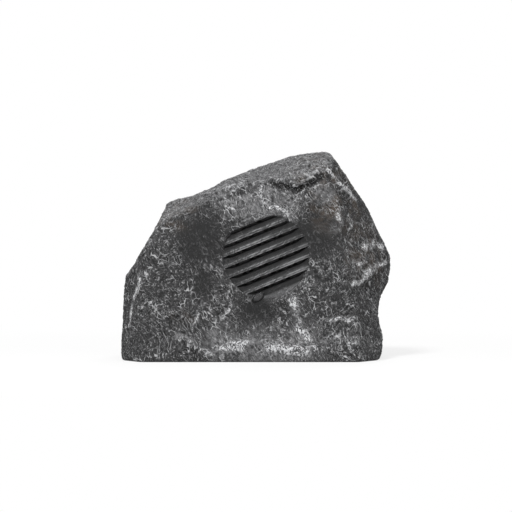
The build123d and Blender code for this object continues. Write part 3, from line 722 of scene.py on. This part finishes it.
def closingSection(side):  # wedge between the outermost gap and the rim; the upper one leans back behind it
    radius = grille["radius"] / mm
    last = (grille["count"] + 1) / 2 * grille["pitch"] / mm - grille["lip"] / mm / 2
    outer = (grille["count"] - 1) / 2 * grille["pitch"] / mm
    chord = math.sqrt(radius ** 2 - outer ** 2)
    atRim = closing["rimPaint"][side]
    atFront = closing["frontPaint"][side]

    def section(across):
        rim = math.sqrt(max(0.0, (radius + closing["margin"]) ** 2 - across ** 2))
        if side > 0:
            deep = closing["depth"]
            front = min(last, rim)
            face = [(min(last + closing["rise"], rim), -deep)]
        else:
            deep = blade["depth"] * (1 - blade["shallow"] * runningOut(across / chord))
            front = max(-last, -rim)
            rear = max(-last + blade["rise"], -rim)
            face = facePoints(front, rear - front, deep)
        row = [(rim * side, 0.0, *atRim), (front, 0.0, *atFront)]
        row += [(up, out, 0.0, 1.0) for up, out in face]
        row.append((rim * side, -deep, 0.0, 1.0))
        return row
    return section


def sweepSections(bm, paint, section, half):  # skin over sections placed along x from -half to half
    rows = []
    for k in range(blade["steps"] + 1):
        across = half * (2 * k / blade["steps"] - 1)
        row = []
        for up, out, worn, smoothShaded in section(across):
            vertex = bm.verts.new((across, up, out))
            vertex[paint["ridge"]] = worn
            vertex[paint["smoothShaded"]] = smoothShaded
            row.append(vertex)
        rows.append(row)
    for one, two in zip(rows, rows[1:]):
        for k in range(len(one)):
            bm.faces.new((one[k - 1], one[k], two[k], two[k - 1]))
    bm.faces.new(rows[0])
    bm.faces.new(rows[-1])


def tongue(bm, paint):  # small rounded tab where the lowest blade runs out, on a flat dark bed that is painted shadow round it
    width, height, rise = tab["size"]
    spread = tab["bedSpread"]
    shadowBed = (width * spread, height * spread, tab["bedRise"])
    turn = Matrix.Rotation(math.radians(tab["turn"]), 3, "Z")
    sides, rows = tab["facets"]
    for size, stand, worn, shadowPaint in ((shadowBed, 0.0, 0.0, tab["bedShadow"]),
                                      ((width, height, rise), tab["stand"], tab["wear"], 0.0)):
        made = bmesh.ops.create_uvsphere(bm, u_segments=sides, v_segments=rows, radius=1.0)["verts"]
        bmesh.ops.scale(bm, vec=size, verts=made)
        bmesh.ops.rotate(bm, cent=(0, 0, 0), matrix=turn, verts=made)
        bmesh.ops.translate(bm, vec=(*tab["place"], stand), verts=made)
        for vertex in made:
            vertex[paint["ridge"]] = worn
            vertex[paint["crease"]] = shadowPaint


def sectionMesh(name, fill):  # filled in millimetres, then brought to metres
    bm = bmesh.new()
    for label in ("ridge", "crease", "smoothShaded"):
        bm.verts.layers.float.new(label)
    fill(bm, bm.verts.layers.float)
    bmesh.ops.remove_doubles(bm, verts=bm.verts, dist=blade["weld"])
    bmesh.ops.recalc_face_normals(bm, faces=bm.faces)
    bmesh.ops.scale(bm, vec=(mm, mm, mm), verts=bm.verts)
    return newObject(name, newMesh(name, bm))


def closings(bm, paint):
    half = (grille["radius"] / mm + closing["margin"]) * closing["span"]
    for side in (1, -1):
        sweepSections(bm, paint, closingSection(side), half)
    tongue(bm, paint)


def louvreTree(bladeObject):
    inputs = {"Count": "Int", "Pitch": "Float", "Radius": "Float", "Wave": "Float", "Ripple": "Float"}
    tree, geometry = groupTree("louvreRow", inputs)
    count, pitch, radius = geometry.other("Count"), geometry.other("Pitch"), geometry.other("Radius")
    first = geometry.node("ShaderNodeCombineXYZ", None, {"Y": (1 - count) * 0.5 * pitch})
    step = geometry.node("ShaderNodeCombineXYZ", None, {"Y": pitch})
    row = geometry.node("GeometryNodeMeshLine", None,
                        {"Count": count, "Start Location": first, "Offset": step})
    place = geometry.node("GeometryNodeInputPosition")
    level = place.axis("Y")
    wider = level + pitch * blade["reachUp"]
    nearest = abs(level).atMost(abs(wider))  # a blade's longer edge reaches the rim
    chord = geometry.sum("SQRT", radius * radius - nearest * nearest)
    scale = geometry.node("ShaderNodeCombineXYZ", None, {"X": chord, "Y": 1.0, "Z": 1.0})
    shape = geometry.node("GeometryNodeObjectInfo", None, {"Object": bladeObject}, "Geometry")
    blades = geometry.node("GeometryNodeInstanceOnPoints", None,
                           {"Points": row, "Instance": shape, "Scale": scale})
    blades = geometry.node("GeometryNodeRealizeInstances", None, {"Geometry": blades})
    joined = geometry.node("GeometryNodeJoinGeometry", None, {"Geometry": blades})
    geometry.tree.links.new(geometry.socket, joined.socket.node.inputs["Geometry"])
    slow = place.noise(blade["waveScale"], 2.0) - 0.5
    quick = place.noise(blade["rippleScale"], 2.0) - 0.5
    depth = slow * geometry.other("Wave") + quick * geometry.other("Ripple")
    push = geometry.node("ShaderNodeCombineXYZ", None,
                         {"Y": depth * blade["sideways"], "Z": depth - blade["seat"]})
    moved = geometry.node("GeometryNodeSetPosition", None, {"Geometry": joined, "Offset": push})
    closeTree(tree, moved, stone)
    return tree


def makeLouvres():
    def fillBlade(bm, paint):
        sweepSections(bm, paint, lambda across: bladeSection(across * mm), 1 / mm)
    bladeObject = sectionMesh("blade", fillBlade)
    louvres = sectionMesh("louvres", closings)
    tree = louvreTree(bladeObject)
    applyTree(louvres, tree, {
        "Count": grille["count"], "Pitch": grille["pitch"], "Radius": grille["radius"] + blade["overlap"],
        "Wave": blade["wave"] * 2 * mm, "Ripple": blade["ripple"] * 2 * mm})
    bpy.data.objects.remove(bladeObject)
    louvres.data.transform(slatFrame)
    for polygon in louvres.data.polygons:
        polygon.use_smooth = True
    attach(louvres, "enclosure")
    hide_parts("rock_shell")


makeLouvres()
print("louvres set in the opening")


# finishes of the pieces kept from the frame

def mouldedPlastic(name, level, warm, rough):
    material, shader, place = newFinish(name, {"Specular IOR Level": 0.4})
    cloud = place.noise(45.0, 3.0)
    pebble = place.cells(900.0)
    colour = place.mix(cloud.between(0.3, 0.7), grey(level * 0.75, warm), grey(level * 1.25, warm))
    scuffs = place.stretch((1.0, 0.15, 1.0)).noise(420.0, 4.0, 0.7).between(0.62, 0.75)
    colour = place.mix(scuffs * 0.2, colour, grey(level * 2.2 + 0.02, warm))
    return wireFinish(material, shader, {
        "Base Color": colour, "Roughness": rough - 0.08 + cloud * 0.16,
        "Normal": bump(place, pebble, 0.25, 0.12 * mm)})


def softRubber(name, level, cellScale, rough):
    material, shader, place = newFinish(name, {"Specular IOR Level": 0.25})
    pores = place.cells(cellScale)
    dust = place.noise(70.0, 3.0)
    colour = place.mix(pores.between(0.1, 0.7), grey(level * 0.55), grey(level * 1.2))
    colour = place.mix(dust.between(0.55, 0.75) * 0.3, colour, grey(level * 1.7 + 0.01, 0.04))
    return wireFinish(material, shader, {
        "Base Color": colour, "Roughness": rough + dust * 0.1,
        "Normal": bump(place, pores, 0.4, 0.25 * mm)})


def bareMetal(name, colour, rough, streaks):
    material, shader, place = newFinish(name, {"Metallic": 1.0})
    stain = place.noise(60.0, 4.0, 0.6)
    drawn = place.stretch(streaks).noise(700.0, 3.0, 0.6)
    dark = tuple(c * 0.62 for c in colour[:3]) + (1.0,)
    tone = place.mix(stain.between(0.35, 0.7), dark, colour)
    return wireFinish(material, shader, {
        "Base Color": tone, "Roughness": rough - 0.1 + drawn * 0.25,
        "Normal": bump(place, drawn, 0.2, 0.06 * mm)})


def paintedSteel(name, level):
    material, shader, place = newFinish(name, {"Specular IOR Level": 0.5})
    peel = place.noise(380.0, 2.0)
    worn = place.noise(90.0, 5.0, 0.7).between(0.68, 0.74)
    colour = place.mix(place.noise(30.0), grey(level * 0.8), grey(level * 1.3))
    colour = place.mix(worn * 0.6, colour, grey(0.30))
    return wireFinish(material, shader, {
        "Base Color": colour, "Metallic": worn * 0.8, "Roughness": 0.38 + peel * 0.15,
        "Normal": bump(place, peel, 0.25, 0.15 * mm)})


def pressedPulp(name, level):
    material, shader, place = newFinish(name, {"Specular IOR Level": 0.15})
    fibre = place.stretch((1.0, 0.4, 1.0)).noise(520.0, 4.0, 0.7, 1.5)
    blotch = place.noise(55.0, 3.0)
    colour = place.mix(fibre.between(0.35, 0.68), grey(level * 0.5), grey(level * 1.5, 0.03))
    colour = place.mix(blotch.between(0.5, 0.8) * 0.3, colour, grey(level * 2.0, 0.05))
    return wireFinish(material, shader, {
        "Base Color": colour, "Roughness": 0.82 + blotch * 0.1,
        "Normal": bump(place, fibre, 0.45, 0.2 * mm)})


def wovenCloth(name, dark, light, threads):
    material, shader, place = newFinish(name, {"Specular IOR Level": 0.2})
    weave = place.bands("X", threads).atLeast(place.bands("Z", threads))
    colour = place.mix(weave * 0.7 + place.noise(90.0) * 0.3, dark, light)
    return wireFinish(material, shader, {
        "Base Color": colour, "Roughness": 0.75 + weave * 0.12,
        "Normal": bump(place, weave, 0.5, 0.2 * mm)})


def coatedMesh(name, wiresScale):  # square-woven screen wire under a dull coating
    material, shader, place = newFinish(name, {"Specular IOR Level": 0.35})
    weft = place.bands("X", wiresScale).between(0.45, 0.85)
    warp = place.bands("Z", wiresScale).between(0.45, 0.85)
    wires = weft.atLeast(warp)
    colour = place.mix(wires * (0.6 + place.noise(80.0) * 0.6), grey(0.004), grey(0.035))
    return wireFinish(material, shader, {
        "Base Color": colour, "Roughness": 0.55 + wires * 0.15,
        "Normal": bump(place, wires, 0.6, 0.25 * mm)})


def firedFerrite(name):
    material, shader, place = newFinish(name, {"Specular IOR Level": 0.45})
    speck = place.cells(520.0)
    ground = place.stretch((1.0, 0.2, 0.2)).noise(240.0, 3.0, 0.6)
    colour = place.mix(ground.between(0.35, 0.7), grey(0.022), grey(0.055, 0.02))
    colour = place.mix(1 - speck.between(0.02, 0.14), colour, grey(0.11))
    return wireFinish(material, shader, {
        "Base Color": colour, "Roughness": 0.45 + ground * 0.2,
        "Normal": bump(place, speck, 0.2, 0.1 * mm)})


def woundWire(name, dark, light, turns, rough):  # enamelled turns or a twisted braid
    material, shader, place = newFinish(name, {"Metallic": 1.0})
    wave = place.bands("Y", turns, 0.6)
    colour = place.mix(wave * 0.75 + place.noise(150.0) * 0.25, dark, light)
    return wireFinish(material, shader, {
        "Base Color": colour, "Roughness": rough + place.noise(200.0) * 0.15,
        "Normal": bump(place, wave, 0.5, 0.15 * mm)})


def extrudedSleeve(name, dark, light):
    material, shader, place = newFinish(name, {"Specular IOR Level": 0.5})
    cloud = place.noise(110.0, 3.0)
    colour = place.mix(cloud.between(0.3, 0.7), dark, light)
    return wireFinish(material, shader, {
        "Base Color": colour, "Roughness": 0.32 + cloud * 0.18,
        "Normal": bump(place, place.noise(650.0, 2.0), 0.15, 0.08 * mm)})


def layeredBoard(name, dark, light, layers):
    material, shader, place = newFinish(name, {"Specular IOR Level": 0.4})
    ply = place.bands("Y", layers, 1.2)
    colour = place.mix(ply * 0.6 + place.noise(120.0, 4.0) * 0.4, dark, light)
    return wireFinish(material, shader, {
        "Base Color": colour, "Roughness": 0.42 + ply * 0.15,
        "Normal": bump(place, ply, 0.2, 0.08 * mm)})


def dressNodes():
    steel = bareMetal("zincSteel", (0.62, 0.63, 0.65, 1), 0.36, (1.0, 1.0, 0.2))
    glandPlastic = mouldedPlastic("glandPlastic", 0.028, 0.0, 0.42)
    blackPlastic = mouldedPlastic("blackPlastic", 0.022, 0.0, 0.5)
    sealRubber = softRubber("sealRubber", 0.03, 700.0, 0.62)
    foam = softRubber("foamGasket", 0.022, 480.0, 0.85)
    pole = bareMetal("poleSteel", (0.42, 0.42, 0.43, 1), 0.42, (1.0, 0.25, 1.0))
    paper = pressedPulp("conePaper", 0.03)
    copper = woundWire("copperTurns", (0.36, 0.12, 0.05, 1), (0.86, 0.42, 0.24, 1), 900.0, 0.3)
    dress = {
        "base_plate": blackPlastic, "screen_retainer": blackPlastic,
        "base_gasket": foam, "driver_gasket": foam,
        "base_screws": steel, "driver_screws": steel, "terminal_screws": steel,
        "insect_screen": coatedMesh("screenWire", 330.0),
        "driver_frame": paintedSteel("framePaint", 0.03),
        "surround": softRubber("rollRubber", 0.02, 900.0, 0.5), "cone": paper, "dust_cap": paper,
        "voice_coil_former": extrudedSleeve("formerFilm", (0.22, 0.09, 0.02, 1), (0.42, 0.19, 0.05, 1)),
        "voice_coil_winding": copper,
        "spider": wovenCloth("spiderCloth", (0.20, 0.13, 0.05, 1), (0.46, 0.34, 0.17, 1), 480.0),
        "front_plate": pole, "yoke": pole, "magnet": firedFerrite("ferrite"),
        "tag_strip": layeredBoard("tagBoard", (0.10, 0.055, 0.025, 1), (0.24, 0.14, 0.07, 1), 900.0),
        "solder_tags": bareMetal("tagBrass", (0.80, 0.62, 0.32, 1), 0.34, (1.0, 0.3, 1.0)),
        "tinsel_leads": woundWire("tinselBraid", (0.30, 0.17, 0.10, 1), (0.80, 0.52, 0.34, 1), 1100.0, 0.4),
        "lead_positive": extrudedSleeve("redSleeve", (0.28, 0.012, 0.01, 1), (0.46, 0.03, 0.022, 1)),
        "lead_negative": extrudedSleeve("blackSleeve", (0.012, 0.012, 0.013, 1), (0.035, 0.035, 0.036, 1)),
        "terminal_block": mouldedPlastic("blockPlastic", 0.42, 0.05, 0.45),
        "gland_body": glandPlastic, "gland_nut": glandPlastic, "gland_locknut": glandPlastic,
        "gland_washer": sealRubber, "gland_seal": sealRubber,
    }
    for name, thing in nodes.items():
        if name in dress:
            thing.data.materials.clear()
            thing.data.materials.append(dress[name])


dressNodes()
print("frame pieces finished")


# soft parts of the driver: the outer rim stays with the basket, the inner one follows the cone

flexRings = {
    "surround": dict(sectors=12, rimLip=3.5 * mm, coneLip=3.5 * mm, slot="roll_rubber"),
    "spider": dict(sectors=8, rimLip=3.5 * mm, coneLip=1.4 * mm, slot="spider_cloth"),
}
flexLeads = dict(name="tinsel_leads", slot="tinsel", glued=0.15)
flexWeld = 0.01 * mm


def flexPiece(label, bm, name, start, end):
    piece = newObject(label, newMesh(label, bm))
    piece.data.materials.append(nodes[name].data.materials[0])
    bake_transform(piece, "enclosure", "cone_assembly", start=start, end=end)
    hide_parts(name)


def radial(turn):
    return acrossRow * math.cos(turn) + upRow * math.sin(turn)


def flexRing(name, ring):  # a blend runs along one line, so the ring is bent sector by sector
    low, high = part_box(name)
    middle = (low + high) / 2
    whole = weldedCopy(name, flexWeld)
    spans = [(v.co - middle - outward * (v.co - middle).dot(outward)).length for v in whole.verts]
    half = math.pi / ring["sectors"]
    held = (max(spans) - ring["rimLip"]) * math.cos(half)
    moved = min(spans) + ring["coneLip"]
    for k in range(ring["sectors"]):
        turn = 2 * half * k
        bm = whole.copy()
        for side in (1, -1):
            away = outward.cross(radial(turn + side * half)) * side
            bmesh.ops.bisect_plane(bm, geom=bm.verts[:] + bm.edges[:] + bm.faces[:], plane_co=middle,
                                   plane_no=away, clear_outer=True)
        flexPiece(f"{name}_{k + 1}", bm, name,
                  middle + radial(turn) * held, middle + radial(turn) * moved)
    whole.free()


def flexWires():  # the leads' lower ends stay on the tags, the upper ones are glued to the cone
    bm = weldedCopy(flexLeads["name"], flexWeld)
    heights = [v.co.dot(upRow) for v in bm.verts]
    bm.verts.ensure_lookup_table()
    first = bm.verts[0].co
    origin = first - upRow * first.dot(upRow)
    top = max(heights) - (max(heights) - min(heights)) * flexLeads["glued"]
    flexPiece("tinsel_wires", bm, flexLeads["name"],
              origin + upRow * min(heights), origin + upRow * top)


for name, ring in flexRings.items():
    flexRing(name, ring)
flexWires()
print("soft parts follow the cone")
